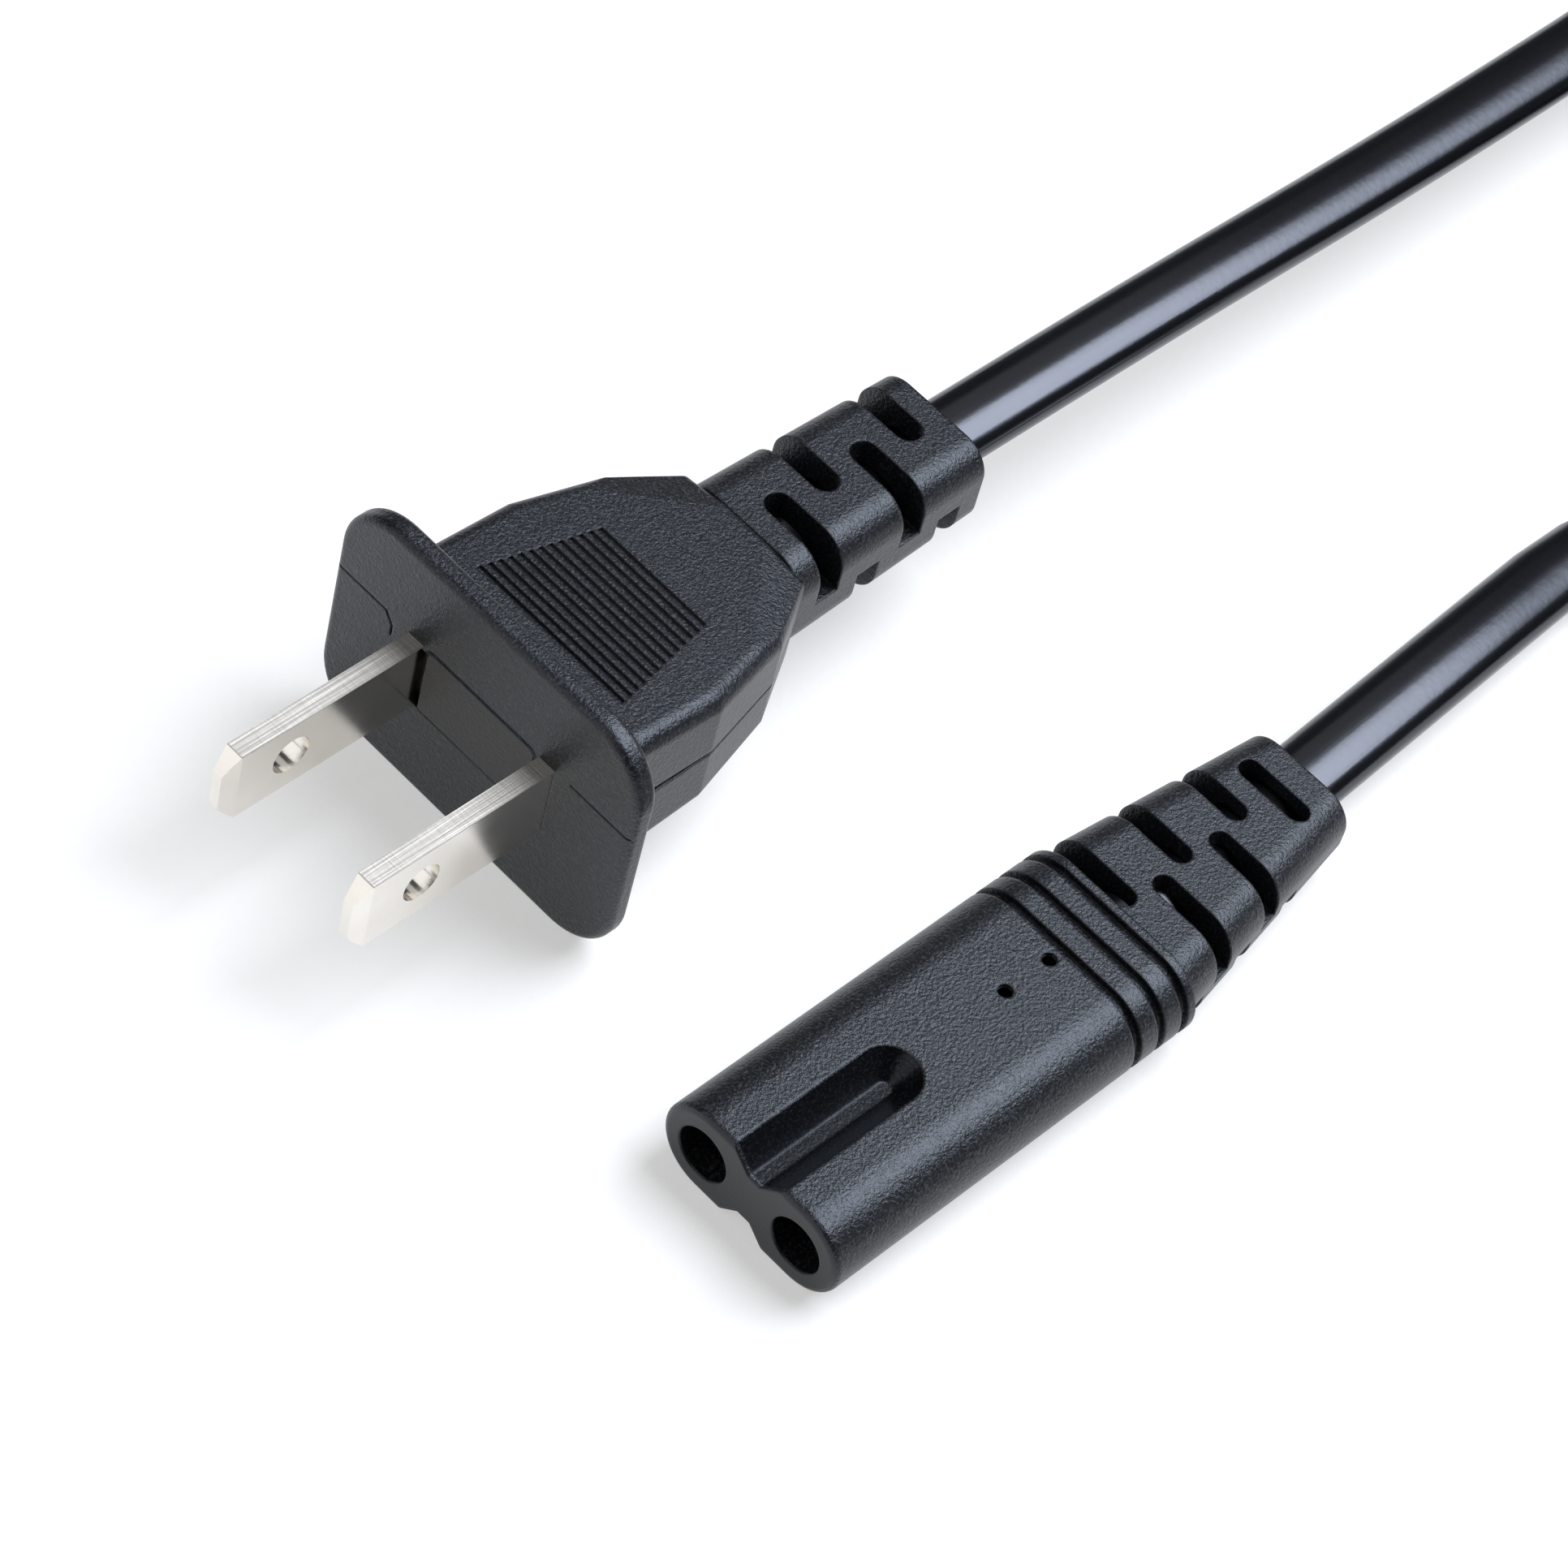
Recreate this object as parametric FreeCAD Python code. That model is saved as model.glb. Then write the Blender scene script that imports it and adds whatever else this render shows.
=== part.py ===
"""Power lead with a figure-eight connector, a flat two-core cord and a two-blade plug.

Lengths are in millimetres and +Z is up. The connector lies on its underside along X: its mating face
looks towards -X, its cord leaves towards +X, and the origin is under the middle of its length.
"""
import math
import os

import FreeCAD
import Part

V = FreeCAD.Vector

# Standard interfaces
CONTACT_SPACING = 8.6
PIN_RADIUS = 1.2
PIN_CLEARANCE = 0.1
BLADE_SPACING = 12.7
BLADE_THICKNESS = 1.5
BLADE_WIDTH = 6.3
BLADE_LENGTH = 16.8
BLADE_HOLE_RADIUS = 1.55
BLADE_HOLE_FROM_FACE = 11.0

# Cord and wires
CORD_WIDTH = 5.8
CORD_THICKNESS = 3.6
CORE_RADIUS = 1.1
CORE_GAP = 0.2
CONDUCTOR_RADIUS = 0.55
GENTLEST_BEND = 250.0

# Connector body
LOBE_RADIUS = 3.65
CONNECTOR_LENGTH = 53.6
ENTRY_RADIUS = 2.15
ENTRY_DEPTH = 2.6
FACE_FILLET = 0.5
WAIST_FLOOR_HEIGHT = 2.0
WAIST_FLOOR_HALF = 0.55
WAIST_EDGE_HALF = 2.35
WAIST_RUN = 11.8
RING_FIRST = 27.9
RING_PITCH = 2.3
RING_COUNT = 3
RING_WIDTH = 0.75
RING_DEPTH = 0.6
PIT_PLACES = (22.7, 26.9)
PIT_RADIUS = 0.55
PIT_DEPTH = 0.3

# Connector strain relief
RELIEF_START = 33.9
RELIEF_START_HALF = (7.45, 3.5)
RELIEF_END_HALF = (4.7, 2.95)
RELIEF_LEFT_SLOTS = (34.9, 40.8, 46.7)
RELIEF_RIGHT_SLOTS = (37.9, 43.9)
RELIEF_LEAN = 0.8
RELIEF_WINDOW = (50.3, 3.1)
SLOT_WIDTH = 1.8
SLOT_PAST_MIDDLE = 0.3

# Connector inner pieces
CARRIER_PAST_CONTACT = 0.6
CARRIER_LOBE_RADIUS = 2.8
CARRIER_WEB_HALF = 1.2
CONTACT_START = 4.6
CONTACT_RADIUS = 1.9
CONTACT_BORE_DEPTH = 10.0
CONTACT_BODY_END = 16.4
CRIMP_RADIUS = 1.6
CRIMP_WIRE_LENGTH = 3.0
CRIMP_LENGTH = 6.0
CONNECTOR_JACKET_START = 33.0

# Plug body
FLANGE_HALF = (14.35, 10.65)
FLANGE_CORNER = 5.0
FLANGE_THICKNESS = 1.8
FLANGE_FILLET = 0.6
PLUG_PLAN = ((10.6, 11.5), (8.9, 18.8), (5.8, 24.1))
PLUG_SIDE = ((6.35, 1.8), (4.6, 24.1))
NECK_BEVEL = 0.7
BODY_FILLET = 1.3
FACET_RIDGE = ((16.6, 8.4), (22.6, 2.9))
FACET_DROP = 0.5
PARTING_DEPTH = 0.5
PARTING_HALF = (0.45, 0.16, 0.1)
GRIP_COUNT = 13
GRIP_FIRST = 5.6
GRIP_LAST = 14.9
GRIP_HALF = (7.0, 5.1)
GRIP_WIDTH = 0.42
GRIP_DEPTH = 0.28

# Plug strain relief
PLUG_LENGTH = 42.7
PLUG_RELIEF_START_HALF = (5.7, 4.3)
PLUG_RELIEF_END_HALF = (5.2, 3.8)
PLUG_RIGHT_SLOTS = (27.2, 35.5)
PLUG_LEFT_SLOTS = (31.4, 39.6)
PLUG_SLOT_WIDTH = 2.2
PLUG_SLOT_PAST_MIDDLE = 1.15

# Plug inner pieces
PAD_HALF_HEIGHT = 3.1
PAD_CORNER = 0.8
PAD_SEAM = 0.24
GATE_SLOT = (0.45, 5.6, 0.7)
FRAME_START = 3.2
FRAME_END = 7.2
FRAME_HALF = (8.4, 4.3)
BLADE_END = 8.4
BLADE_NOSE = 1.3
BLADE_NOSE_DROP = 1.0
BLADE_EDGE = 0.3
PLUG_JACKET_START = 25.0
FACE_LINE_HEIGHT = 3.25
FACE_LINE_WIDTH = 0.16
FACE_LINE_DEPTH = 0.2

# Where the plug lies, and the routes of the cord, measured from the middle of the mating face
PLUG_PLACE = (6.7, 34.9)
CONNECTOR_ROUTE = ((60.0, 1.1, 3.65), (104.0, 3.0, 2.2), (131.0, -34.0, 2.4), (160.0, -37.8, 3.4))
PLUG_ROUTE = ((62.0, 34.9, 10.65), (110.0, 34.6, 8.8), (156.0, 35.0, 9.4))

# Coil of the length that is put away
COIL_CENTRE = (158.0, -1.4)
COIL_MIDDLE_RADIUS = 30.4
COIL_RING_WIDTH = 16.0
COIL_HEIGHT = 11.8
COIL_CORNER = 1.8
TIE_THICKNESS = 0.5
TIE_TURN = 14.0
TIE_FROM = -97.0

HALF_SPACING = CONTACT_SPACING / 2
CARRIER_END = CONTACT_BODY_END + CARRIER_PAST_CONTACT
HALF_BLADES = BLADE_SPACING / 2
FAR = 60.0


def at(points):
    return [V(*p) for p in points]


def prism(points, along):
    """A closed outline of points, carried along a vector."""
    corners = at(points)
    return Part.Face(Part.makePolygon(corners + corners[:1])).extrude(V(*along))


def box(low, high):
    size = V(*high) - V(*low)
    return Part.makeBox(size.x, size.y, size.z, V(*low))


def rod(radius, start, end, y=0.0, z=0.0):
    """A cylinder along X."""
    return Part.makeCylinder(radius, end - start, V(start, y, z), V(1, 0, 0))


def rounded_outline(x, half, corner):
    """A rounded rectangle across X, as a wire."""
    w, h = half
    a, b, s = w - corner, h - corner, corner * math.sqrt(0.5)
    edges = []
    for sy, sz in ((1, 1), (-1, 1), (-1, -1), (1, -1)):
        side, cap = V(x, sy * w, sz * b), V(x, sy * a, sz * h)
        middle = V(x, sy * (a + s), sz * (b + s))
        first, last = (side, cap) if sy == sz else (cap, side)
        edges.append(Part.Arc(first, middle, last).toShape())
    wire = []
    for i, arc in enumerate(edges):
        wire.append(arc)
        end = arc.Vertexes[-1].Point
        start = edges[(i + 1) % 4].Vertexes[0].Point
        if end.distanceToPoint(start) > 1e-6:
            wire.append(Part.LineSegment(end, start).toShape())
    return Part.Wire(Part.__sortEdges__(wire))


def bar(start, end, half, corner):
    """A rounded rectangle carried along X."""
    return Part.Face(rounded_outline(start, half, corner)).extrude(V(end - start, 0, 0))


def taper(start, start_half, end, end_half, corner_share, lean=0.0):
    """A bar that narrows from one rounded rectangle to another, which can stand to one side."""
    first = rounded_outline(start, start_half, corner_share * start_half[1])
    last = rounded_outline(end, end_half, corner_share * end_half[1])
    last.translate(V(0, lean, 0))
    return Part.makeLoft([first, last], True, True)


def stadium_bar(start, end, radius, half_spacing):
    """Two round lobes joined by flat sides, carried along X."""
    return bar(start, end, (half_spacing + radius, radius), radius)


def fillet_where(shape, radius, wanted):
    """Round the edges that a test picks, and keep the shape as it was if that can't be done."""
    edges = [e for e in shape.Edges if wanted(e)]
    try:
        made = shape.makeFillet(radius, edges)
    except Exception as error:
        print("fillet of", radius, "not made:", error)
        return shape
    good = made.isValid() and len(made.Solids) == 1
    print("fillet of", radius, "on", len(edges), "edges:", "made" if good else "not valid")
    return made.Solids[0] if good else shape


def swept(section, points):
    """A face carried along straight runs with a tangent arc at each turn, and the radii of the arcs."""
    p = at(points)
    face, here, pieces, radii, length = section, p[0], [], [], 0.0
    for before, corner, after in zip(p, p[1:], p[2:]):
        back, ahead = before - corner, after - corner
        turn = math.pi - back.getAngle(ahead)
        radius = min(0.45 * min(back.Length, ahead.Length) / math.tan(turn / 2), GENTLEST_BEND)
        reach = radius * math.tan(turn / 2)
        back.normalize()
        ahead.normalize()
        inward = back + ahead
        inward.normalize()
        centre = corner + inward * (radius / math.cos(turn / 2))
        axis = ahead.cross(back)
        leave = corner + back * reach
        pieces.append(face.extrude(leave - here))
        face = face.translated(leave - here)
        pieces.append(face.revolve(centre, axis, math.degrees(turn)))
        face = face.rotated(centre, axis, math.degrees(turn))
        length += (leave - here).Length + radius * turn
        radii.append(round(radius, 1))
        here = corner + ahead * reach
    pieces.append(face.extrude(p[-1] - here))
    length += (p[-1] - here).Length
    return pieces[0].fuse(pieces[1:]), radii, length


def cord_tube(points):
    """The flat cord along a route, with its width level and its first end square to X."""
    start, ahead = V(*points[0]), V(*points[1]) - V(*points[0])
    ahead.normalize()
    behind = start - ahead * CORD_THICKNESS
    section = Part.Face(rounded_outline(0.0, (CORD_WIDTH / 2, CORD_THICKNESS / 2), CORD_THICKNESS / 2))
    section.Placement = FreeCAD.Placement(behind, FreeCAD.Rotation(V(1, 0, 0), ahead))
    tube, radii, length = swept(section, [tuple(behind)] + list(points[1:]))
    print("radii", radii, "length", round(length - CORD_THICKNESS, 1))
    print("volume", round(tube.Volume, 1), "section times length", round(section.Area * length, 1))
    reach = V(1, 1, 1) * CORD_WIDTH * 2
    return tube.cut(box(start - reach, start + V(0, reach.y, reach.z)))


def bent_wire(radius, start, end, from_y, to_y):
    """A round wire that goes along X and steps sideways by two equal arcs."""
    step = (end - start) / 3
    points = [
        (start, from_y, 0),
        (start + step, from_y, 0),
        (end - step, to_y, 0),
        (end, to_y, 0),
    ]
    circle = Part.Face(Part.Wire(Part.makeCircle(radius, V(*points[0]), V(1, 0, 0))))
    return swept(circle, points)[0]


def slot(x, width, inner, outer, up):
    """An upright slot across a strain relief with round ends, above or below the middle plane."""
    half = width / 2
    low = 0.0 if up > 0 else -FAR
    ends = [y + half if y < other else y - half for y, other in ((inner, outer), (outer, inner))]
    corners = [(x - half, ends[0], low), (x + half, ends[0], low), (x + half, ends[1], low), (x - half, ends[1], low)]
    caps = [Part.makeCylinder(half, FAR, V(x, y, low)) for y in ends]
    return prism(corners, (0, 0, FAR)).fuse(caps)


def relief_slots(right, left, width, past_middle, middle):
    """The upper slots, and the same pattern turned half round the axis for the lower side."""
    cut = []
    for places, side in ((right, -1), (left, 1)):
        for x in places:
            for up in (1, -1):
                out = side * up
                cut.append(slot(x, width, middle(x) - out * past_middle, middle(x) + out * FAR, up))
    return cut


def relief_middle(x):
    """How far the axis of the connector's strain relief stands to one side."""
    return RELIEF_LEAN * (x - RELIEF_START) / (CONNECTOR_LENGTH - RELIEF_START)


def waist_groove():
    """The groove along the nose that gives it its figure-eight face, with a round end."""
    slope = (WAIST_EDGE_HALF - WAIST_FLOOR_HALF) / (LOBE_RADIUS - WAIST_FLOOR_HEIGHT)
    high = LOBE_RADIUS + 1.0
    wide = WAIST_FLOOR_HALF + slope * (high - WAIST_FLOOR_HEIGHT)
    trench = prism(
        [
            (-1.0, -WAIST_FLOOR_HALF, WAIST_FLOOR_HEIGHT),
            (-1.0, WAIST_FLOOR_HALF, WAIST_FLOOR_HEIGHT),
            (-1.0, wide, high),
            (-1.0, -wide, high),
        ],
        (WAIST_RUN + 1.0, 0, 0),
    )
    end = Part.makeCone(
        WAIST_FLOOR_HALF, wide, high - WAIST_FLOOR_HEIGHT, V(WAIST_RUN, 0, WAIST_FLOOR_HEIGHT)
    )
    return trench.fuse(end)


def ring_groove(x):
    outer = stadium_bar(x, x + RING_WIDTH, LOBE_RADIUS + 1.0, HALF_SPACING)
    return outer.cut(stadium_bar(x - 1, x + RING_WIDTH + 1, LOBE_RADIUS - RING_DEPTH, HALF_SPACING))


def connector_outside():
    """The moulded outside of the connector, still solid inside."""
    nose = stadium_bar(0.0, RELIEF_START, LOBE_RADIUS, HALF_SPACING)
    nose = fillet_where(nose, FACE_FILLET, lambda e: e.BoundBox.XMax < 0.01)
    upper = waist_groove()
    lower = upper.mirror(V(0, 0, 0), V(0, 0, 1))
    nose = nose.cut(upper).cut(lower)
    for i in range(RING_COUNT):
        nose = nose.cut(ring_groove(RING_FIRST + i * RING_PITCH))
    for x in PIT_PLACES:
        nose = nose.cut(Part.makeCylinder(PIT_RADIUS, 5, V(x, 0, LOBE_RADIUS - PIT_DEPTH)))
    relief = taper(RELIEF_START, RELIEF_START_HALF, CONNECTOR_LENGTH, RELIEF_END_HALF, 0.8, RELIEF_LEAN)
    return nose.fuse(relief).removeSplitter()


def connector_slots():
    """The slots of the connector's strain relief, and the window near its end."""
    cuts = relief_slots(RELIEF_RIGHT_SLOTS, RELIEF_LEFT_SLOTS, SLOT_WIDTH, SLOT_PAST_MIDDLE, relief_middle)
    x, half = RELIEF_WINDOW
    for up in (1, -1):
        cuts.append(slot(x, SLOT_WIDTH, relief_middle(x) - half, relief_middle(x) + half, up))
    return cuts


def contact(side):
    """A turned sleeve with a bore for a round pin and a crimp barrel behind it."""
    y = side * HALF_SPACING
    shape = rod(CONTACT_RADIUS, CONTACT_START, CONTACT_BODY_END, y)
    crimp_end = CONTACT_BODY_END + CRIMP_LENGTH
    shape = shape.fuse(rod(CRIMP_RADIUS, CONTACT_BODY_END, crimp_end, y))
    bore = rod(PIN_RADIUS + PIN_CLEARANCE, CONTACT_START - 1, CONTACT_START + CONTACT_BORE_DEPTH, y)
    wire = rod(CONDUCTOR_RADIUS, CONTACT_BODY_END, crimp_end + 1, y)
    grip = rod(CORE_RADIUS, CONTACT_BODY_END + CRIMP_WIRE_LENGTH, crimp_end + 1, y)
    return shape.cut([bore, wire, grip]).removeSplitter()


def contact_carrier():
    """The hard insert that holds both contacts behind the face."""
    shape = None
    for side in (1, -1):
        lobe = rod(CARRIER_LOBE_RADIUS, ENTRY_DEPTH, CARRIER_END, side * HALF_SPACING)
        shape = lobe if shape is None else shape.fuse(lobe)
    web = box((ENTRY_DEPTH, -HALF_SPACING, -CARRIER_WEB_HALF), (CARRIER_END, HALF_SPACING, CARRIER_WEB_HALF))
    shape = shape.fuse(web)
    for side in (1, -1):
        shape = shape.cut(rod(CONTACT_RADIUS, ENTRY_DEPTH - 1, CONTACT_BODY_END, side * HALF_SPACING))
        shape = shape.cut(rod(CRIMP_RADIUS, CONTACT_BODY_END, CARRIER_END + 1, side * HALF_SPACING))
    return shape.removeSplitter()


def wire_pair(side, barrel_start, barrel_y, jacket_start):
    """One core and its conductor, from the end of the jacket to the crimp barrel."""
    bare_end = barrel_start + CRIMP_WIRE_LENGTH
    crimp_end = barrel_start + CRIMP_LENGTH
    cord_y = CORE_RADIUS + CORE_GAP / 2
    ends = (crimp_end, jacket_start, side * barrel_y, side * cord_y)
    core = bent_wire(CORE_RADIUS, *ends).fuse(rod(CORE_RADIUS, bare_end, crimp_end, side * barrel_y))
    wire = bent_wire(CONDUCTOR_RADIUS, *ends)
    wire = wire.fuse(rod(CONDUCTOR_RADIUS, barrel_start, crimp_end, side * barrel_y))
    wire = wire.removeSplitter()
    return core.cut(wire).removeSplitter(), wire


def connector_pieces(run):
    made = {"connector_contact_carrier": contact_carrier()}
    for name, side in (("left", 1), ("right", -1)):
        made["connector_contact_" + name] = contact(side)
        core, wire = wire_pair(side, CONTACT_BODY_END, HALF_SPACING, CONNECTOR_JACKET_START)
        made["connector_core_" + name] = core
        made["connector_conductor_" + name] = wire
    entries = [rod(ENTRY_RADIUS, -1, ENTRY_DEPTH, s * HALF_SPACING) for s in (1, -1)]
    entries += [rod(CONTACT_RADIUS, ENTRY_DEPTH, CONTACT_BODY_END, s * HALF_SPACING) for s in (1, -1)]
    shell = connector_outside().cut(entries).cut(list(made.values())).cut(run).cut(connector_slots())
    return {"connector_overmould": shell, **made}


def half_height(x):
    """Half the height of the plug's body at a distance behind its face."""
    (h0, x0), (h1, x1) = PLUG_SIDE
    return h0 + (h1 - h0) * (x - x0) / (x1 - x0)


def plan_prism(inset, margin):
    """The plan of the plug's body, carried upwards."""
    ends = [(FLANGE_THICKNESS - margin, PLUG_PLAN[0][0])] + [(x, w) for w, x in PLUG_PLAN]
    right = [(x, w - inset, -FAR) for x, w in ends]
    left = [(x, inset - w, -FAR) for x, w in reversed(ends)]
    return prism(right + left, (0, 0, 2 * FAR))


def side_prism(margin):
    """The side view of the plug's body, carried across."""
    ends = [(x, half_height(x)) for x in (FLANGE_THICKNESS - margin, PLUG_SIDE[-1][1])]
    upper = [(x, -FAR, h) for x, h in ends]
    lower = [(x, -FAR, -h) for x, h in reversed(ends)]
    return prism(upper + lower, (0, 2 * FAR, 0))


def neck_facet(side, up):
    """What is cut from a corner of the body where it falls away towards the neck."""
    (x0, y0), (x1, y1) = FACET_RIDGE
    a = V(x0, side * y0, up * half_height(x0))
    b = V(x1, side * y1, up * half_height(x1))
    c = V(x1, side * (y1 + 3.4), up * (half_height(x1) - FACET_DROP))
    normal = (b - a).cross(c - a)
    normal.normalize()
    if normal.z * up < 0:
        normal = normal * -1
    along = b - a
    along.normalize()
    across = normal.cross(along)
    corners = [a + along * (i * 30) + across * (j * 30) for i, j in ((-1, -1), (1, -1), (1, 1), (-1, 1))]
    return Part.Face(Part.makePolygon(corners + corners[:1])).extrude(normal * 30)


def parting_gap():
    """The wedge between the two mould halves along each side of the body."""
    (h0, h1, h2), (_, x1), (_, x2) = PARTING_HALF, PLUG_PLAN[0], PLUG_PLAN[-1]
    ends = ((FLANGE_THICKNESS, h0), (x1, h1), (x2, h2))
    upper = [(x, -FAR, h) for x, h in ends]
    lower = [(x, -FAR, -h) for x, h in reversed(ends)]
    return prism(upper + lower, (0, 2 * FAR, 0)).cut(plan_prism(PARTING_DEPTH, 1.0))


def grip_grooves():
    """Fine grooves across the top and underside of the plug's body."""
    cut = []
    for i in range(GRIP_COUNT):
        share = i / (GRIP_COUNT - 1)
        x = GRIP_FIRST + share * (GRIP_LAST - GRIP_FIRST)
        half = GRIP_HALF[0] + share * (GRIP_HALF[1] - GRIP_HALF[0])
        floor = half_height(x) - GRIP_DEPTH
        a, b = x - GRIP_WIDTH / 2, x + GRIP_WIDTH / 2
        cut.append(box((a, -half, floor), (b, half, floor + 3)))
        cut.append(box((a, -half, -floor - 3), (b, half, -floor)))
    return cut


def face_lines():
    """The fine mould lines on the plug's face, beside the blades."""
    z, w, d = FACE_LINE_HEIGHT, FACE_LINE_WIDTH / 2, FACE_LINE_DEPTH
    edge, inner = FLANGE_HALF[0] + 1, HALF_BLADES + 2.9
    jog = prism(
        [
            (-1, inner, z + w),
            (-1, inner - 0.75, z - 0.9),
            (-1, inner - 0.75, z - 1.9),
            (-1, inner - 0.55, z - 1.9),
            (-1, inner - 0.55, z - 0.95),
            (-1, inner + 0.15, z - w),
        ],
        (1 + d, 0, 0),
    )
    left = box((-1, inner, z - w), (d, edge, z + w))
    right = box((-1, -edge, z - w), (d, -HALF_BLADES - 2.2, z + w))
    return [left, jog, right]


def plug_outside():
    """The moulded outside of the plug, still solid inside."""
    body = plan_prism(0.0, 1.0).common(side_prism(1.0)).removeSplitter()
    body = fillet_where(body, BODY_FILLET, long_edge)
    for side in (1, -1):
        for up in (1, -1):
            body = body.cut(neck_facet(side, up))
    neck = PLUG_PLAN[-1][1]
    body = fillet_where(body.Solids[0], NECK_BEVEL, lambda e: e.BoundBox.XMin > neck - 0.01)
    body = body.cut(parting_gap()).cut(grip_grooves())
    flange = bar(0.0, FLANGE_THICKNESS, FLANGE_HALF, FLANGE_CORNER)
    flange = fillet_where(flange, FLANGE_FILLET, lambda e: e.BoundBox.XLength < 0.01)
    flange = flange.cut(face_lines())
    relief = taper(neck, PLUG_RELIEF_START_HALF, PLUG_LENGTH, PLUG_RELIEF_END_HALF, 0.62)
    slots = (PLUG_RIGHT_SLOTS, PLUG_LEFT_SLOTS, PLUG_SLOT_WIDTH, PLUG_SLOT_PAST_MIDDLE)
    relief = relief.cut(relief_slots(*slots, lambda x: 0.0))
    return flange.fuse(body).fuse(relief).removeSplitter()


def long_edge(edge):
    """Whether an edge is one of the long upper or lower edges of the plug's body."""
    b = edge.BoundBox
    return min(abs(b.ZMin), abs(b.ZMax)) > 3.0 and b.XLength > 1.0


def blade(side):
    """A flat blade with a nosed tip and a round hole, and a crimp barrel behind it."""
    y, h, t = side * HALF_BLADES, BLADE_WIDTH / 2, BLADE_THICKNESS / 2
    outline = [
        (-BLADE_LENGTH, y - t, h - BLADE_NOSE_DROP - 0.5),
        (-BLADE_LENGTH + 0.5, y - t, h - BLADE_NOSE_DROP + 0.2),
        (-BLADE_LENGTH + BLADE_NOSE, y - t, h),
        (BLADE_END, y - t, h),
    ]
    outline += [(x, yy, -z) for x, yy, z in reversed(outline)]
    shape = prism(outline, (0, BLADE_THICKNESS, 0))
    for s in (1, -1):
        tip = [
            (-BLADE_LENGTH - 1, y + s * (t - 2 * BLADE_EDGE), -FAR),
            (-BLADE_LENGTH - 1, y + s * (t + 2), -FAR),
            (-BLADE_LENGTH + BLADE_NOSE, y + s * (t + 2), -FAR),
            (-BLADE_LENGTH + BLADE_NOSE, y + s * t, -FAR),
        ]
        shape = shape.cut(prism(tip, (0, 0, 2 * FAR)))
    hole = Part.makeCylinder(BLADE_HOLE_RADIUS, 10, V(-BLADE_HOLE_FROM_FACE, y - 5, 0), V(0, 1, 0))
    shape = shape.cut(hole)
    barrel_end = BLADE_END + CRIMP_LENGTH
    shape = shape.fuse(rod(CRIMP_RADIUS, BLADE_END - 1.5, barrel_end, y))
    wire = rod(CONDUCTOR_RADIUS, BLADE_END, barrel_end + 1, y)
    grip = rod(CORE_RADIUS, BLADE_END + CRIMP_WIRE_LENGTH, barrel_end + 1, y)
    return shape.cut([wire, grip]).removeSplitter()


def blade_carrier(blades):
    """The hard insert: a pad that shows between the blades, and a frame that holds both of them."""
    inner = HALF_BLADES - BLADE_THICKNESS / 2
    pad = bar(0.0, FRAME_END, (inner, PAD_HALF_HEIGHT), PAD_CORNER)
    pad = pad.makeChamfer(PAD_SEAM, [e for e in pad.Edges if e.BoundBox.XMax < 0.01])
    wide, tall, deep = GATE_SLOT
    pad = pad.cut(box((-1, inner - wide, -tall / 2), (deep, inner + 1, tall / 2)))
    frame = bar(FRAME_START, FRAME_END, FRAME_HALF, PAD_CORNER)
    return pad.fuse(frame).cut(blades).removeSplitter()


def plug_pieces(run):
    blades = [blade(1), blade(-1)]
    made = {
        "plug_blade_carrier": blade_carrier(blades),
        "plug_blade_left": blades[0],
        "plug_blade_right": blades[1],
    }
    for name, side in (("left", 1), ("right", -1)):
        core, wire = wire_pair(side, BLADE_END, HALF_BLADES, PLUG_JACKET_START)
        made["plug_core_" + name] = core
        made["plug_conductor_" + name] = wire
    gate = box(
        (-1, HALF_BLADES - BLADE_THICKNESS / 2 - GATE_SLOT[0], -GATE_SLOT[1] / 2),
        (GATE_SLOT[2], HALF_BLADES, GATE_SLOT[1] / 2),
    )
    shell = plug_outside().cut(list(made.values()) + [gate]).cut(run)
    return {"plug_overmould": shell, **made}


def coil_ring(grow, start_turn, turn):
    """The ring of cord turns, or part of it, as a rounded section turned about an upright axis."""
    half = (COIL_RING_WIDTH / 2 + grow, COIL_HEIGHT / 2 + grow)
    outline = rounded_outline(0.0, half, COIL_CORNER + grow)
    outline.rotate(V(0, 0, 0), V(0, 0, 1), start_turn)
    across = V(-math.sin(math.radians(start_turn)), math.cos(math.radians(start_turn)), 0)
    middle = V(COIL_CENTRE[0], COIL_CENTRE[1], TIE_THICKNESS + COIL_HEIGHT / 2)
    outline.translate(middle + across * COIL_MIDDLE_RADIUS)
    return Part.Face(outline).revolve(middle, V(0, 0, 1), turn)


def build():
    connector_move = V(0, 0, LOBE_RADIUS)
    plug_move = V(PLUG_PLACE[0], PLUG_PLACE[1], FLANGE_HALF[1])
    start = (CONNECTOR_JACKET_START, 0.0, LOBE_RADIUS)
    plug_start = (PLUG_PLACE[0] + PLUG_JACKET_START, PLUG_PLACE[1], FLANGE_HALF[1])
    coil = coil_ring(0.0, 0.0, 360.0)
    connector_run = cord_tube((start,) + CONNECTOR_ROUTE).cut(coil)
    plug_run = cord_tube((plug_start,) + PLUG_ROUTE).cut(coil)

    nodes = {}
    for name, shape in connector_pieces(connector_run.translated(connector_move * -1)).items():
        nodes[name] = shape.translated(connector_move)
    for name, shape in plug_pieces(plug_run.translated(plug_move * -1)).items():
        nodes[name] = shape.translated(plug_move)
    nodes["cord_connector_run"] = connector_run
    nodes["cord_coil"] = coil
    nodes["cord_plug_run"] = plug_run
    nodes["coil_tie"] = coil_ring(TIE_THICKNESS, TIE_FROM, TIE_TURN).cut(coil)
    return nodes


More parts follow.
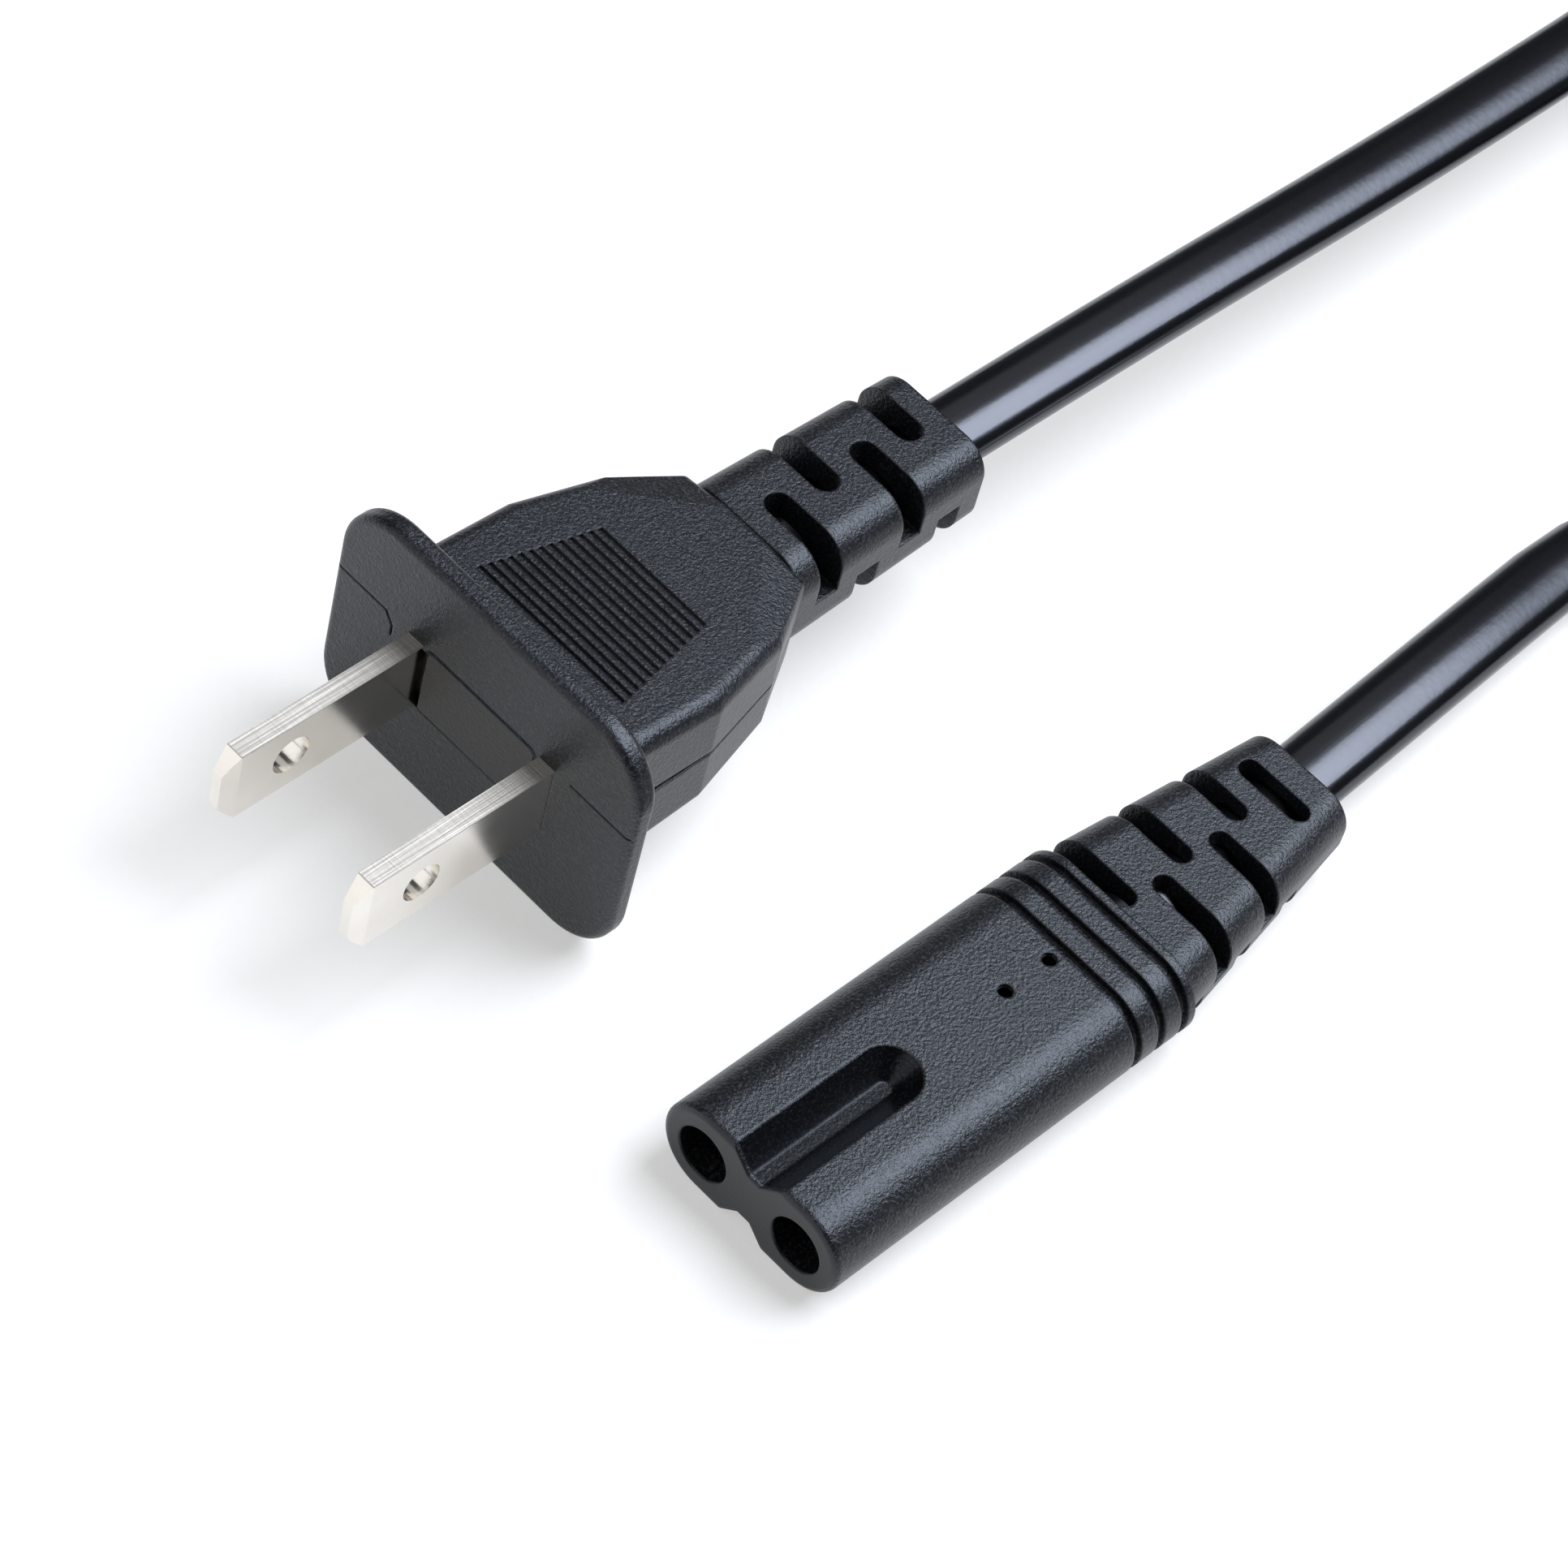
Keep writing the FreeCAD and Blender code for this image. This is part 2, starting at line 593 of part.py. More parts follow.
os.makedirs("parts", exist_ok=True)
for node, made in build().items():
    placed = made.translated(V(-CONNECTOR_LENGTH / 2, 0, 0))
    solids = placed.Solids
    b = placed.BoundBox
    print(
        node, "solids", len(solids), "valid", placed.isValid(), "volume", round(placed.Volume, 2),
        "box", [round(v, 2) for v in (b.XMin, b.YMin, b.ZMin, b.XMax, b.YMax, b.ZMax)],
    )
    (solids[0] if len(solids) == 1 else placed).exportStep("parts/" + node + ".step")
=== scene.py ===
# %% [markdown]
# A mains lead: a figure-eight connector, a flat black cord and a plug with two flat blades.
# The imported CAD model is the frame. Its solids keep their shape and only get a finish, while
# the cord and the strap round its coil are soft, so they are new surfaces in the same place.

# %% Load the frame
import math

import bpy
import numpy as np
from mathutils import Matrix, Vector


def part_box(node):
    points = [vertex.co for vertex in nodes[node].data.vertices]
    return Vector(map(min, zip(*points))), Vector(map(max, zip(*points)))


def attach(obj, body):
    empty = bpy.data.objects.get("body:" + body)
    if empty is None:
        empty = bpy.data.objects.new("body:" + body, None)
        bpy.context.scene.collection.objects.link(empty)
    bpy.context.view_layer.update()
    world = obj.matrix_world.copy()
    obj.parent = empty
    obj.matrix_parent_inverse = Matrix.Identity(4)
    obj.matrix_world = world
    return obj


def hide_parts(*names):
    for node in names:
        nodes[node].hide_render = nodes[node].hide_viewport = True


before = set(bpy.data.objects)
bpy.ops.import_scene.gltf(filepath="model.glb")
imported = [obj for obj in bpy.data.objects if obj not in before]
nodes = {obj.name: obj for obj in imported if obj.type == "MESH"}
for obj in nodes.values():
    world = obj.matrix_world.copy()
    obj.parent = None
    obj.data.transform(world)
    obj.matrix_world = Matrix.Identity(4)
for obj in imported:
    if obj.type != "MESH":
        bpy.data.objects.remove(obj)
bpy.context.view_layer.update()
scene = bpy.context.scene
scene.view_settings.view_transform = "Standard"
MM = 0.001
print("CAD nodes", len(nodes))

# %% [markdown]
# The camera stands high in front of the two ends and is tilted to one side, so that both ends run
# up to the right across the picture. It could be aimed with a constraint, but a long lens at a
# fixed place and three angles says the same thing in two lines, and nothing has to be evaluated.

# %% Camera
camera_data = bpy.data.cameras.new("camera")
camera_data.lens = 121.12
camera_data.sensor_width = 36.0
camera_data.clip_start = 0.01
camera = bpy.data.objects.new("camera", camera_data)
camera.location = np.array((-189.87, -99.25, 279.2)) * MM
camera.rotation_euler = np.radians((37.967, -10.308, -44.165))
scene.collection.objects.link(camera)
scene.camera = camera
print("camera", [round(v, 4) for v in camera.location], "lens", camera_data.lens)

# %% [markdown]
# The cord leaves both ends, goes out of the picture, and what is left of its 1.5 m is wound
# into a flat coil of two layers: inwards on the table, up, and outwards again on top. One smooth
# NURBS spline is the whole route: the points of the two free runs, with the coil's turns between
# them. A turn needs only an angle, a radius and a height, so the turns are worked out as arrays.

# %% Route of the cord
FACE_TO_MIDDLE = 26.8
CONNECTOR_RUN = ((33.0, 0.0, 3.65), (63.4, 1.7, 3.65), (104.8, 4.5, 1.5), (121.4, -37.6, 3.1))
PLUG_RUN = ((31.7, 34.9, 10.65), (62.0, 34.9, 10.65), (110.0, 34.6, 8.8))
CORD_WIDTH, CORD_THICKNESS = 5.8, 3.6
COIL_CENTRE = (158.0, -1.4)
COIL_OUTER, COIL_PITCH, COIL_TURNS = 36.4, 3.8, 6.5
LAYER_HEIGHTS = (3.45, 9.35)
POINTS_PER_TURN = 24
STEPS_PER_POINT = 8


def smoothstep(x, low, high):
    """0 below low, 1 above high, and an S-shaped rise between them."""
    t = np.clip((x - low) / (high - low), 0.0, 1.0)
    return t * t * (3.0 - 2.0 * t)


def coil_points():
    """Points on a spiral: the radius shrinks by one pitch a turn and grows again past half way,
    and the height climbs from the lower layer to the upper one at the inmost turn."""
    turn = np.linspace(0.0, COIL_TURNS, int(COIL_TURNS * POINTS_PER_TURN) + 1)
    angle = 2.0 * np.pi * turn - np.pi / 2.0
    inward = np.minimum(turn, COIL_TURNS - turn)
    radius = (COIL_OUTER - COIL_PITCH * inward) / math.cos(math.pi / POINTS_PER_TURN)
    climb = smoothstep(turn, COIL_TURNS / 2 - 0.2, COIL_TURNS / 2 + 0.2)
    height = LAYER_HEIGHTS[0] + (LAYER_HEIGHTS[1] - LAYER_HEIGHTS[0]) * climb
    return np.column_stack(
        (COIL_CENTRE[0] + radius * np.cos(angle), COIL_CENTRE[1] + radius * np.sin(angle), height)
    )


def spline_points(controls, steps):
    """Evenly read points of a smooth spline that has these control points."""
    curve = bpy.data.curves.new("cord_route", "CURVE")
    curve.dimensions = "3D"
    curve.resolution_u = steps
    spline = curve.splines.new("NURBS")
    spline.points.add(len(controls) - 1)
    spline.points.foreach_set("co", np.column_stack((controls, np.ones(len(controls)))).ravel())
    spline.order_u = 3
    spline.use_endpoint_u = True
    holder = bpy.data.objects.new("cord_route", curve)
    mesh = bpy.data.meshes.new_from_object(holder)
    points = np.empty(len(mesh.vertices) * 3)
    mesh.vertices.foreach_get("co", points)
    bpy.data.objects.remove(holder)
    bpy.data.curves.remove(curve)
    bpy.data.meshes.remove(mesh)
    return points.reshape(-1, 3)


controls = np.vstack((CONNECTOR_RUN, coil_points(), PLUG_RUN[::-1]))
controls = (controls - (FACE_TO_MIDDLE, 0.0, 0.0)) * MM
route = spline_points(controls, STEPS_PER_POINT)
steps = np.linalg.norm(np.diff(route, axis=0), axis=1)
along = np.concatenate(([0.0], np.cumsum(steps)))
print("route points", len(route), "length", round(along[-1], 3))

# %% [markdown]
# The jacket is a flat oval, a touch squarer than an ellipse. It lies flat where the cord is free
# and stands on edge in the coil, so it turns a quarter round just before the coil and back again
# after it. A bevelled curve would do for a round cord, but it gives no hold on that turn. Here the
# oval is carried along the route as one grid: a row for every step, and a column for every point
# of it.

# %% Cord
CONNECTOR_TWIST, PLUG_TWIST = 0.045, 0.028
OVAL_POINTS = 40
JACKET_SQUARENESS = 2.15
COIL_MARGIN, TURNED_BEFORE = 0.3, 0.003


def grid_mesh(name, points, uv, closed_across, capped=False):
    """A mesh of a grid of points; columns join up when it is closed across, caps shut its ends."""
    rows, columns = points.shape[:2]
    index = np.arange(rows * columns).reshape(rows, columns)
    right = np.roll(index, -1, axis=1) if closed_across else index[:, 1:]
    left = index if closed_across else index[:, :-1]
    quads = np.stack((left[:-1], right[:-1], right[1:], left[1:]), axis=-1).reshape(-1, 4)
    faces = quads.tolist()
    if capped:
        faces += [index[0][::-1].tolist(), index[-1].tolist()]
    mesh = bpy.data.meshes.new(name)
    mesh.from_pydata(points.reshape(-1, 3).tolist(), [], faces)
    after = np.roll(uv, -1, axis=1)
    after[:, -1, 1] += 1.0
    if not closed_across:
        uv, after = uv[:, :-1], uv[:, 1:]
    corner = np.stack((uv[:-1], after[:-1], after[1:], uv[1:]), axis=2).reshape(-1, 2)
    corner = np.vstack((corner, np.zeros((len(mesh.loops) - len(corner), 2))))
    layer = mesh.uv_layers.new(name="along")
    layer.data.foreach_set("uv", corner.astype(np.float32).ravel())
    mesh.polygons.foreach_set("use_smooth", np.ones(len(mesh.polygons), dtype=bool))
    mesh.update()
    piece = bpy.data.objects.new(name, mesh)
    scene.collection.objects.link(piece)
    return piece


def oval(count, width, thickness, squareness):
    """An outline with |across / half width|^n + |up / half thickness|^n = 1, for a squareness n."""
    angle = np.linspace(0.0, 2.0 * np.pi, count, endpoint=False) + np.pi / count
    power = 2.0 / squareness
    across = width / 2.0 * np.sign(np.cos(angle)) * np.abs(np.cos(angle)) ** power
    return across, thickness / 2.0 * np.sign(np.sin(angle)) * np.abs(np.sin(angle)) ** power


def unit(vectors):
    """The same directions with a length of one."""
    return vectors / np.linalg.norm(vectors, axis=-1, keepdims=True)


def carried(path, wide, outline):
    """Each row is the outline set square to the path: its width lies along wide, and its height
    along the direction that is square to both the path and wide."""
    high = np.cross(unit(np.gradient(path, axis=0)), wide)
    across, up = outline
    sideways = across[None, :, None] * wide[:, None]
    points = path[:, None] + sideways + up[None, :, None] * high[:, None]
    steps = np.linalg.norm(np.diff(path, axis=0), axis=1)
    lengths = np.concatenate(([0.0], np.cumsum(steps)))
    around = np.linspace(0.0, 1.0, len(across), endpoint=False)
    uv = np.stack(np.meshgrid(lengths, around, indexing="ij"), axis=-1)
    return points, uv


ahead = unit(np.gradient(route, axis=0))
level = unit(np.cross((0.0, 0.0, 1.0), ahead))
centre = (np.array(COIL_CENTRE) - (FACE_TO_MIDDLE, 0.0)) * MM
from_centre = np.linalg.norm(route[:, :2] - centre, axis=1)
in_coil = np.flatnonzero(from_centre < (COIL_OUTER + COIL_MARGIN) * MM)
coil_from, coil_to = along[in_coil[0]], along[in_coil[-1]]
quarters = smoothstep(along, coil_from - CONNECTOR_TWIST, coil_from - TURNED_BEFORE)
quarters += smoothstep(along, coil_to + TURNED_BEFORE, coil_to + PLUG_TWIST)
roll = (quarters * np.pi / 2)[:, None]
wide = np.cos(roll) * level + np.sin(roll) * np.cross(ahead, level)
outline = oval(OVAL_POINTS, CORD_WIDTH * MM, CORD_THICKNESS * MM, JACKET_SQUARENESS)
cord = grid_mesh("cord", *carried(route, wide, outline), closed_across=True, capped=True)
print("cord faces", len(cord.data.polygons), "coil", round(coil_from, 3), "to", round(coil_to, 3))

# %% [markdown]
# A woven strap holds the coil together. On the real thing it is a cut length of webbing, wrapped
# once round all the turns with its end pressed down on top of its start. A solid ring would look
# cast. So it is a thin oval again, carried round a squarish loop that lifts off itself at the end.

# %% Strap round the coil
STRAP_WIDTH, STRAP_THICKNESS = 7.4, 0.45
STRAP_EDGE_SQUARENESS, STRAP_SQUARENESS = 5.0, 6.0
LOOP_HALF_WIDTH, LOOP_HALF_HEIGHT, LOOP_MIDDLE = 8.3, 6.15, 6.38
LOOP_POINTS = 260


def strap_loop(half_wide, half_high, count):
    """A loop with |x/a|^n + |z/b|^n = 1, a little more than once round, where a and b grow by one
    thickness over the last part so that the end lies on the start; points are evenly spaced."""
    turn = np.linspace(np.pi / 2 - 0.35, np.pi * 5 / 2 + 0.45, 4000)
    grown = STRAP_THICKNESS * 1.05 * smoothstep(turn, np.pi * 2, np.pi * 5 / 2 - 0.4)
    power = 2.0 / STRAP_SQUARENESS
    x = (half_wide + grown) * np.sign(np.cos(turn)) * np.abs(np.cos(turn)) ** power
    z = (half_high + grown) * np.sign(np.sin(turn)) * np.abs(np.sin(turn)) ** power
    length = np.concatenate(([0.0], np.cumsum(np.hypot(np.diff(x), np.diff(z)))))
    even = np.linspace(0.0, length[-1], count)
    return np.interp(even, length, x), np.interp(even, length, z)


tie_low, tie_high = (np.array(corner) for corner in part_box("coil_tie"))
ring_middle = COIL_OUTER - COIL_PITCH * COIL_TURNS / 4
loop_x, loop_z = strap_loop(LOOP_HALF_WIDTH, LOOP_HALF_HEIGHT, LOOP_POINTS)
loop = np.column_stack((loop_x, np.zeros_like(loop_x), loop_z + LOOP_MIDDLE))
loop += (COIL_CENTRE[0] + ring_middle - FACE_TO_MIDDLE, COIL_CENTRE[1], 0.0)
loop *= MM
strap_wide = np.broadcast_to((0.0, -1.0, 0.0), loop.shape)
outline = oval(OVAL_POINTS, STRAP_WIDTH * MM, STRAP_THICKNESS * MM, STRAP_EDGE_SQUARENESS)
rows = carried(loop, strap_wide, outline)
strap = grid_mesh("coil_strap", *rows, closed_across=True, capped=True)
print("strap faces", len(strap.data.polygons), "CAD tie", tie_low.round(4), tie_high.round(4))

# %% [markdown]
# A finish is a small network of nodes. Written out one by one, nodes hide the sum they stand for,
# so a wire of the network is wrapped in a class: sums on wires add Math nodes, and one method adds
# any other node. A finish then reads like the recipe that it is.

# %% Wires of a finish


class Wire:
    """One socket of a finish. + - * on it add Math nodes, and node() adds any other node."""

    def __init__(self, tree, socket=None):
        self.tree, self.socket = tree, socket

    def node(self, kind, sockets=None, output=0, **settings):
        """Adds a node, sets its settings, then gives each named socket its value or link."""
        made = self.tree.nodes.new("ShaderNode" + kind)
        for name, value in settings.items():
            setattr(made, name, value)
        for name, value in (sockets or {}).items():
            if isinstance(value, Wire):
                self.tree.links.new(value.socket, made.inputs[name])
            else:
                made.inputs[name].default_value = value
        return Wire(self.tree, made.outputs[output] if made.outputs else None)

    def math(self, operation, first, second):
        return self.node("Math", {0: first, 1: second}, operation=operation)

    def __add__(self, other):
        return self.math("ADD", self, other)

    def __sub__(self, other):
        return self.math("SUBTRACT", self, other)

    def __rsub__(self, other):
        return self.math("SUBTRACT", other, self)

    def __mul__(self, other):
        return self.math("MULTIPLY", self, other)

    __radd__, __rmul__ = __add__, __mul__


def new_finish(name, coordinates="Object"):
    """An empty material and the wire of its coordinates, in metres on Object."""
    material = bpy.data.materials.new(name)
    material.use_nodes = True
    material.node_tree.nodes.clear()
    return material, Wire(material.node_tree).node("TexCoord", output=coordinates)


def noise(place, size, detail=2.0, sharpness=0.5):
    """Cloudy noise between 0 and 1 whose blots are about this many millimetres across."""
    scale = 1.0 / (size * MM)
    sockets = {"Vector": place, "Scale": scale, "Detail": detail, "Roughness": sharpness}
    return place.node("TexNoise", sockets)


def stretched(place, x, y, z):
    """The coordinates times three factors, so that blots get longer along some axes."""
    return place.node("VectorMath", {0: place, 1: (x, y, z)}, operation="MULTIPLY")


def ramp(value, low, high):
    """0 below low and 1 above high with a soft step between."""
    sockets = {"Value": value, "From Min": low, "From Max": high}
    return value.node("MapRange", sockets, interpolation_type="SMOOTHSTEP")


def tint(mask, dark, light):
    """A colour between two colours, or wires of colours, by a mask between 0 and 1."""
    first, second = (end if isinstance(end, Wire) else (*end, 1.0) for end in (dark, light))
    return mask.node("Mix", {0: mask, 6: first, 7: second}, output=2, data_type="RGBA")


def bump(height, depth, strength=1.0, under=None):
    """A normal from a height between 0 and 1 that stands for this many millimetres."""
    sockets = {"Height": height, "Distance": depth * MM, "Strength": strength}
    if under is not None:
        sockets["Normal"] = under
    return height.node("Bump", sockets)


def coat_with(place, **sockets):
    """The shader with these sockets, joined to the material's output."""
    named = {name.replace("_", " "): value for name, value in sockets.items()}
    place.node("OutputMaterial", {"Surface": place.node("BsdfPrincipled", named)})


print("wires ready")

# %% [markdown]
# Both ends are black PVC, moulded in a steel tool whose walls were eaten by sparks. Noise stands
# for that grain twice: as height it breaks every highlight, and as colour it paints pale specks,
# a painted highlight that stands for the glints on the grain. An image would have to be wrapped
# round every slot, while noise on the object's own coordinates needs no wrapping. Moulded corners
# are never sharp, so a Bevel node softens them. The face and the groove come from polished steel.
# Shade is painted in the pits, and in the fine gap round the pad between the blades: there the
# finish turns into black metal, which mirrors nothing and so looks deep. The groove is painted
# darker too, with a finish that is half metal.

# %% Moulded black
BLACK = (0.0, 0.0, 0.0)
GROOVE_X, GROOVE_Y, GROOVE_Z = (-26.4, -12.4), (-2.2, 2.2), (0.1, 7.2)
PIT_PLACES, PIT_RADIUS, PIT_HEIGHTS = (-4.1, 0.1), 0.55, (6.5, 7.28)
PAD_MIDDLE, PAD_HALF = (-20.1, 34.9, 10.65), (0.05, 5.3, 3.2)
PAD_CORNER, GAP_HALF, GAP_LOWEST = 0.75, 0.2, 11.6


def between(value, low, high, soft):
    """1 between two limits in millimetres and 0 outside them, with soft edges."""
    low, high, soft = low * MM, high * MM, soft * MM
    return ramp(value, low - soft, low + soft) * (1 - ramp(value, high - soft, high + soft))


def spot(place, x, y, radius):
    """1 inside an upright round pit at this place in millimetres, 0 round it."""
    sockets = {0: stretched(place, 1.0, 1.0, 0.0), 1: (x * MM, y * MM, 0.0)}
    away = place.node("VectorMath", sockets, output="Value", operation="DISTANCE")
    return 1 - ramp(away, (radius - 0.06) * MM, (radius - 0.02) * MM)


def pad_gap_shade(place, z):
    """1 where shade is painted in the fine gap round the top of the pad between the blades: the
    line where the distance from a smaller box, set back by the corner's radius, is that radius."""
    corner = np.array((0.0, PAD_CORNER, PAD_CORNER))
    sockets = {0: place, 1: np.array(PAD_MIDDLE) * MM}
    away = place.node("VectorMath", sockets, operation="SUBTRACT")
    away = place.node("VectorMath", {0: away}, operation="ABSOLUTE")
    away = place.node("VectorMath", {0: away, 1: (PAD_HALF - corner) * MM}, operation="SUBTRACT")
    away = place.node("VectorMath", {0: away, 1: (0.0, 0.0, 0.0)}, operation="MAXIMUM")
    away = place.node("VectorMath", {0: away}, output="Value", operation="LENGTH")
    line = between(away, PAD_CORNER - GAP_HALF, PAD_CORNER + GAP_HALF, 0.03)
    return line * ramp(z, GAP_LOWEST * MM, (GAP_LOWEST + 0.1) * MM)


def moulded_black():
    material, place = new_finish("moulded_black")
    x, y, z = (place.node("SeparateXYZ", {0: place}, output=axis) for axis in "XYZ")
    grain = noise(place, 0.25, 2.0, 0.7)
    blots = noise(place, 1.3, 2.0)
    handled = noise(place, 14.0, 3.0)
    face = 1 - ramp(x, -26.75 * MM, -26.6 * MM)
    groove = between(x, *GROOVE_X, 0.1) * between(y, *GROOVE_Y, 0.05) * between(z, *GROOVE_Z, 0.05)
    smooth = place.math("MAXIMUM", face * 0.85, groove * 0.6)
    # Painted highlight: pale specks in the colour stand for the glints that light makes on the
    # grain.
    painted_glints = ramp(noise(place, 0.20, 2.0, 0.7), 0.48, 0.72) * (1 - smooth)
    pits = spot(place, PIT_PLACES[0], 0.0, PIT_RADIUS) + spot(place, PIT_PLACES[1], 0.0, PIT_RADIUS)
    # Painted shade: the pits and the gap round the pad turn to black metal, so they look deep.
    painted_shade = place.math("MAXIMUM", pits * between(z, *PIT_HEIGHTS, 0.01), pad_gap_shade(place, z))
    colour = tint(blots * 0.5 + handled * 0.5, (0.0015, 0.0017, 0.0022), (0.003, 0.0033, 0.004))
    colour = tint(painted_glints, colour, (0.040, 0.044, 0.051))
    colour = tint(face, colour, (0.010, 0.010, 0.010))
    soft_edges = place.node("Bevel", {"Radius": 0.28 * MM}, samples=6)
    # Painted shade: the groove is half metal, which darkens it as if shaded.
    coat_with(
        place, Base_Color=tint(painted_shade, colour, BLACK),
        Metallic=place.math("MAXIMUM", painted_shade, groove * 0.55),
        Roughness=(0.29 + grain * 0.06 + handled * 0.06) * (1 - groove * 0.2),
        Normal=bump((grain + blots * 0.2) * (1 - smooth), 0.072, under=soft_edges),
        Specular_IOR_Level=0.5, Specular_Tint=(0.86, 0.92, 1.0, 1.0),
    )
    return material


finishes = {"moulding": moulded_black()}
print("moulded black nodes", len(finishes["moulding"].node_tree.nodes))

# %% [markdown]
# The hard inserts are a stiffer plastic, cast first and then moulded over. One is seen down the two
# holes and the other as the pad between the blades. Plastic that flows into a tool leaves faint
# streaks along its way, so the noise is stretched. The shade painted in the gap round the pad runs
# across both finishes, so it is the same mask again.

# %% Insert
def insert_black():
    material, place = new_finish("insert_black")
    flow = noise(stretched(place, 0.3, 1.0, 1.0), 0.8, 3.0)
    grain = noise(place, 0.25, 2.0, 0.7)
    # Painted shade: the gap round the pad turns to black metal, so it looks deep.
    gap = pad_gap_shade(place, place.node("SeparateXYZ", {0: place}, output="Z"))
    colour = tint(flow, (0.003, 0.003, 0.003), (0.006, 0.006, 0.006))
    coat_with(
        place, Base_Color=tint(gap, colour, BLACK), Metallic=gap, Normal=bump(grain, 0.06),
        Roughness=0.29 + grain * 0.06 + flow * 0.06,
    )
    return material


finishes["insert"] = insert_black()
print("insert nodes", len(finishes["insert"].node_tree.nodes))

# %% [markdown]
# The cord's jacket is glossy soft PVC. It is pressed out through a die, which draws faint lines
# along it, and handling leaves the gloss a little uneven. The lines have to follow the cord round
# the coil, so they read its own map: length one way and the way round the other, bent into a ring
# so that no seam shows.

# %% Cord jacket
def cord_black():
    material, place = new_finish("cord_black", "UV")
    length = place.node("SeparateXYZ", {0: place}, output="X")
    turn = place.node("SeparateXYZ", {0: place}, output="Y") * (2.0 * math.pi)
    ring = 2.6 * MM
    across, up = (turn.math(wave, turn, 0.0) * ring for wave in ("COSINE", "SINE"))
    place = place.node("CombineXYZ", {0: length, 1: across, 2: up})
    lines = noise(stretched(place, 0.02, 1.0, 1.0), 0.35, 3.0, 0.6)
    pebble = noise(place, 0.6, 2.0)
    handled = noise(place, 9.0, 3.0)
    normal = bump(lines, 0.006, under=bump(pebble, 0.006))
    colour = tint(handled * 0.6 + lines * 0.4, (0.0015, 0.0017, 0.0024), (0.003, 0.0033, 0.0042))
    gloss = 0.15 + handled * 0.07 + lines * 0.05
    coat_with(
        place, Base_Color=colour, Roughness=gloss, Normal=normal, Specular_IOR_Level=0.7,
        Specular_Tint=(0.83, 0.88, 1.0, 1.0),
    )
    return material


finishes["cord_jacket"] = cord_black()
print("cord jacket nodes", len(finishes["cord_jacket"].node_tree.nodes))

# %% [markdown]
# The blades are brass strip with bright nickel on it. Rolling leaves fine lines along the strip.
# The top edge is sheared, so it is duller, streaked both ways and less like a mirror. Metal shows
# mostly what is around it, so the finish is all in how rough it is and which way the lines run.

# %% Nickel blades
def bright_nickel():
    material, place = new_finish("bright_nickel")
    z = place.node("SeparateXYZ", {0: place}, output="Z")
    edge = ramp(z, 13.72 * MM, 13.78 * MM)
    rolled = noise(stretched(place, 0.03, 1.0, 1.0), 0.10, 3.0, 0.6)
    sheared = noise(stretched(place, 1.0, 0.05, 1.0), 0.16, 3.0, 0.6)
    drawn = noise(stretched(place, 0.02, 1.0, 1.0), 0.22, 2.0)
    cloud = noise(place, 3.5, 3.0)
    colour = tint(cloud, (0.77, 0.735, 0.68), (0.91, 0.875, 0.815))
    worn = tint(sheared * 0.6 + drawn * 0.4, (0.34, 0.31, 0.255), (0.88, 0.85, 0.79))
    streaks = bump(sheared * edge, 0.04, under=bump(drawn * edge, 0.05))
    coat_with(
        place, Base_Color=tint(edge, colour, worn), Metallic=1 - edge * 0.5,
        Roughness=0.10 + rolled * 0.08 + cloud * 0.08 + edge * 0.30,
        Normal=bump(rolled, 0.004, under=streaks),
    )
    return material


finishes["blade"] = bright_nickel()
print("nickel nodes", len(finishes["blade"].node_tree.nodes))

# %% [markdown]
# Inside are turned brass sleeves, copper strand and two coloured cores. They hardly show, but the
# part can be opened up, so each has its own finish: turning rings, strands, and a soft gloss.

# %% Inside metals and cores
def turned_brass():
    material, place = new_finish("turned_brass")
    rings = noise(stretched(place, 1.0, 0.02, 0.02), 0.12, 2.0)
    cloud = noise(place, 2.0, 2.0)
    colour = tint(cloud, (0.62, 0.46, 0.20), (0.80, 0.64, 0.33))
    gloss = 0.2 + cloud * 0.15
    coat_with(place, Base_Color=colour, Metallic=1.0, Roughness=gloss, Normal=bump(rings, 0.01))
    return material


def copper_strand():
    material, place = new_finish("copper_strand")
    strands = noise(stretched(place, 0.06, 1.0, 1.0), 0.18, 1.0)
    colour = tint(strands, (0.42, 0.17, 0.09), (0.82, 0.44, 0.28))
    gloss = 0.22 + strands * 0.2
    coat_with(place, Base_Color=colour, Metallic=1.0, Roughness=gloss, Normal=bump(strands, 0.08))
    return material


def core_colour(name, dark, light):
    material, place = new_finish(name)
    lines = noise(stretched(place, 0.05, 1.0, 1.0), 0.3, 2.0)
    coat_with(
        place, Base_Color=tint(lines, dark, light), Roughness=0.28 + lines * 0.14,
        Normal=bump(lines, 0.015),
    )
    return material


finishes["contact"] = turned_brass()
finishes["conductor"] = copper_strand()
finishes["core_brown"] = core_colour("core_brown", (0.10, 0.040, 0.018), (0.16, 0.070, 0.030))
finishes["core_blue"] = core_colour("core_blue", (0.015, 0.045, 0.19), (0.03, 0.085, 0.30))
print("inside finishes", len(finishes))

# %% [markdown]
# The strap is black webbing: threads over and under each other, half a millimetre apart. Two sine
# waves on its own map, one along and one across, multiplied together, give that over and under.
# Modelled threads would take a hundred thousand faces for something a few millimetres wide.

